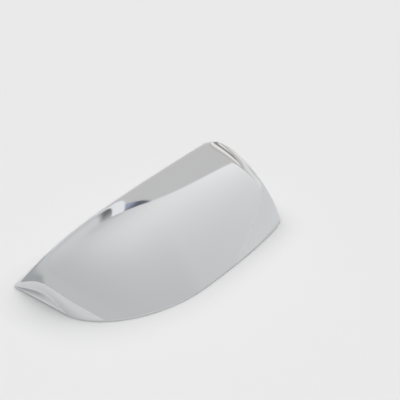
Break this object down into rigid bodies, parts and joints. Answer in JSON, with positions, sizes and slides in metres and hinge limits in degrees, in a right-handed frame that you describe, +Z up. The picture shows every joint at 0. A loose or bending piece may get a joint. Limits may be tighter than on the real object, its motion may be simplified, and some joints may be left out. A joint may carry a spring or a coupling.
{
  "type": "wing mirror cover",
  "caption": "Chrome-plated moulded wing mirror cover: a crowned tapering shell, open underneath, with a rounded inboard crease and a flat rim.",
  "frame": {"origin": "centre of the footprint, in the plane of the flat rim", "axes": "+X towards the inboard end, +Y towards the far edge, +Z up out of the crown; the open side faces -Z"},
  "size_m": [0.247, 0.1278, 0.0886],
  "materials": {
    "chrome_plating": "polished"
  },
  "bodies": {
    "root": {"cover_shell": "chrome_plating"}
  },
  "joints": []
}
